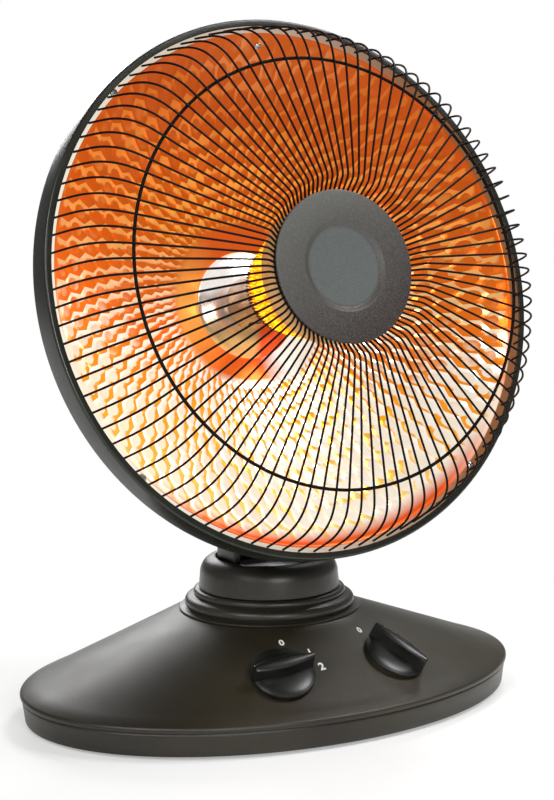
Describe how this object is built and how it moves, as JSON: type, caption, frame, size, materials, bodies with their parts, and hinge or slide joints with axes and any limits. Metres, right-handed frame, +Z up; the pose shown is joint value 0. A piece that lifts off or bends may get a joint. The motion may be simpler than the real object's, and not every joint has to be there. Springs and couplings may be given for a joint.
{
  "type": "parabolic heater",
  "caption": "Tabletop dish heater: oval base with two knobs, swinging neck, tilting parabolic reflector with a glowing coil behind a domed guard of radial wires.",
  "frame": {"origin": "middle of the base on the floor, below the neck's axis", "axes": "+Z up along the neck's axis, -Y towards the front that the dish faces, +X to the viewer's right"},
  "size_m": [0.376, 0.264, 0.4818],
  "materials": {
    "moulding": "satin, fine texture",
    "gloss_trim": "gloss",
    "black_paint": "satin",
    "black_casting": "satin paint",
    "band_paint": "satin",
    "hub_paint": "matt, speckled",
    "guard_paint": "satin",
    "reflector_sheet": "polished, dimpled",
    "socket_metal": "polished",
    "ceramic": "matt",
    "coil_wire": "glowing",
    "screw_steel": "zinc plated",
    "machined_steel": "turned",
    "ballast_iron": "as cast",
    "foot_rubber": "matt",
    "bearing_nylon": "satin",
    "motor_case": "satin",
    "switch_case": "satin"
  },
  "bodies": {
    "base": {"base_cover": "moulding", "base_plate": "black_paint", "ballast": "ballast_iron", "foot_1": "foot_rubber", "foot_2": "foot_rubber", "foot_3": "foot_rubber", "foot_4": "foot_rubber", "base_screw_1": "screw_steel", "base_screw_2": "screw_steel", "base_screw_3": "screw_steel", "base_screw_4": "screw_steel", "neck_collar": "moulding", "bearing_ring": "bearing_nylon", "swing_motor": "motor_case", "motor_screw_1": "screw_steel", "motor_screw_2": "screw_steel", "heat_switch": "switch_case", "swing_switch": "switch_case", "tip_switch": "switch_case", "cord_gland": "gloss_trim"},
    "swivel": {"swivel_cap": "moulding", "spindle": "machined_steel", "yoke": "black_casting", "retaining_nut": "machined_steel", "swing_lever": "machined_steel", "hinge_cap_left": "gloss_trim", "hinge_cap_right": "gloss_trim", "hinge_bolt": "machined_steel"},
    "crank": {"crank": "machined_steel"},
    "head": {"tilt_arm": "black_casting", "arm_screw_1": "screw_steel", "arm_screw_2": "screw_steel", "dish_shell": "black_paint", "rear_cover": "moulding", "rear_screw_1": "screw_steel", "rear_screw_2": "screw_steel", "rim_band": "band_paint", "band_plate_top": "band_paint", "band_plate_side": "band_paint", "reflector": "reflector_sheet", "rim_screw_1": "screw_steel", "rim_screw_2": "screw_steel", "rim_screw_3": "screw_steel", "rim_screw_4": "screw_steel", "reflector_screw": "screw_steel", "element_socket": "socket_metal", "element_core": "ceramic", "heating_coil": "coil_wire", "wire_guard": "guard_paint", "hub_plate": "black_paint", "hub_disc": "hub_paint", "hub_screw": "screw_steel"},
    "heat_knob": {"heat_knob": "gloss_trim"},
    "swing_knob": {"swing_knob": "gloss_trim"},
    "tip_plunger": {"tip_plunger": "foot_rubber"}
  },
  "joints": [
    {"name": "neck_swing", "type": "hinge", "parent": "base", "child": "swivel", "pos_m": [0, 0, 0.07], "axis": [0, 0, 1], "range_deg": [-35, 35]},
    {"name": "crank_turn", "type": "hinge", "parent": "base", "child": "crank", "pos_m": [0, 0.032, 0.038], "axis": [0, 0, 1], "range_deg": [-90, 90]},
    {"name": "head_tilt", "type": "hinge", "parent": "swivel", "child": "head", "pos_m": [0, 0, 0.125], "axis": [1, 0, 0], "range_deg": [-15, 15]},
    {"name": "heat_knob_turn", "type": "hinge", "parent": "base", "child": "heat_knob", "pos_m": [-0.04433, -0.09261, 0.04357], "axis": [-0.1478, -0.5115, 0.8465], "range_deg": [0, 60]},
    {"name": "swing_knob_turn", "type": "hinge", "parent": "base", "child": "swing_knob", "pos_m": [0.04433, -0.09261, 0.04357], "axis": [0.1478, -0.5115, 0.8465], "range_deg": [-60, 0]},
    {"name": "tip_plunger_slide", "type": "slide", "parent": "base", "child": "tip_plunger", "axis": [0, 0, -1], "range_m": [0, 0.005], "stiffness_N_per_m": 30, "springref_m": 0.008}
  ],
  "couplings": [
    {"joint": "crank_turn", "follows": "neck_swing", "ratio": 2.5714}
  ]
}
